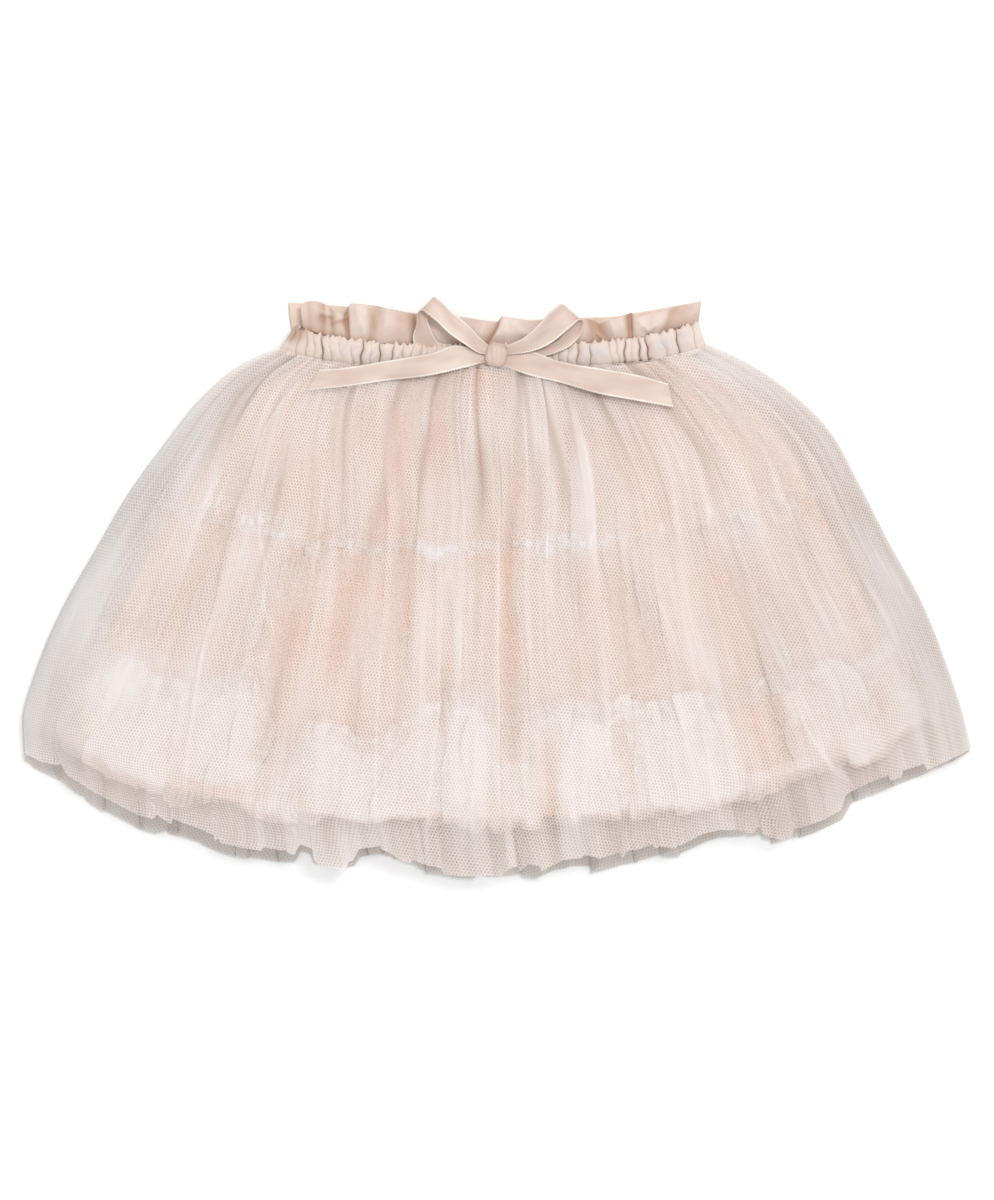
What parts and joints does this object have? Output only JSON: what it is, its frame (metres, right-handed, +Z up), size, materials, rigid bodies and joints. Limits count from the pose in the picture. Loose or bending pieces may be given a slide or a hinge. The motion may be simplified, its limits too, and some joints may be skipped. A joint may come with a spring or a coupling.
{
  "type": "tulle skirt",
  "caption": "Child's gathered tulle skirt laid flat, with a net overlay over tiered net and a cotton lining, an elastic casing with a ruffled heading, and a ribbon bow.",
  "frame": {"origin": "on the surface that the skirt lies on, under the middle of its outline", "axes": "+X to the right of the skirt as seen from its front, +Y towards its waist, +Z up, out of its front"},
  "size_m": [0.475, 0.293, 0.0329],
  "materials": {
    "overlay_net": "matt soft nylon tulle, blush white",
    "tier_net": "matt soft nylon tulle, ivory",
    "lining_cotton": "plain woven cotton, peach",
    "waist_cotton": "plain woven cotton lawn, pale peach",
    "ribbon": "satin ribbon with a picot edge, beige peach"
  },
  "bodies": {
    "root": {"overlay_front": "overlay_net", "overlay_back": "overlay_net", "yoke_tier_front": "tier_net", "yoke_tier_back": "tier_net", "middle_tier_front": "tier_net", "middle_tier_back": "tier_net", "frill_front": "tier_net", "frill_back": "tier_net", "lining_front": "lining_cotton", "lining_back": "lining_cotton", "waistband_front": "waist_cotton", "waistband_back": "waist_cotton", "heading_front": "waist_cotton", "heading_back": "waist_cotton", "bow_knot": "ribbon", "bow_loop_left": "ribbon", "bow_loop_right": "ribbon", "bow_tail_left": "ribbon", "bow_tail_right": "ribbon"}
  },
  "joints": []
}
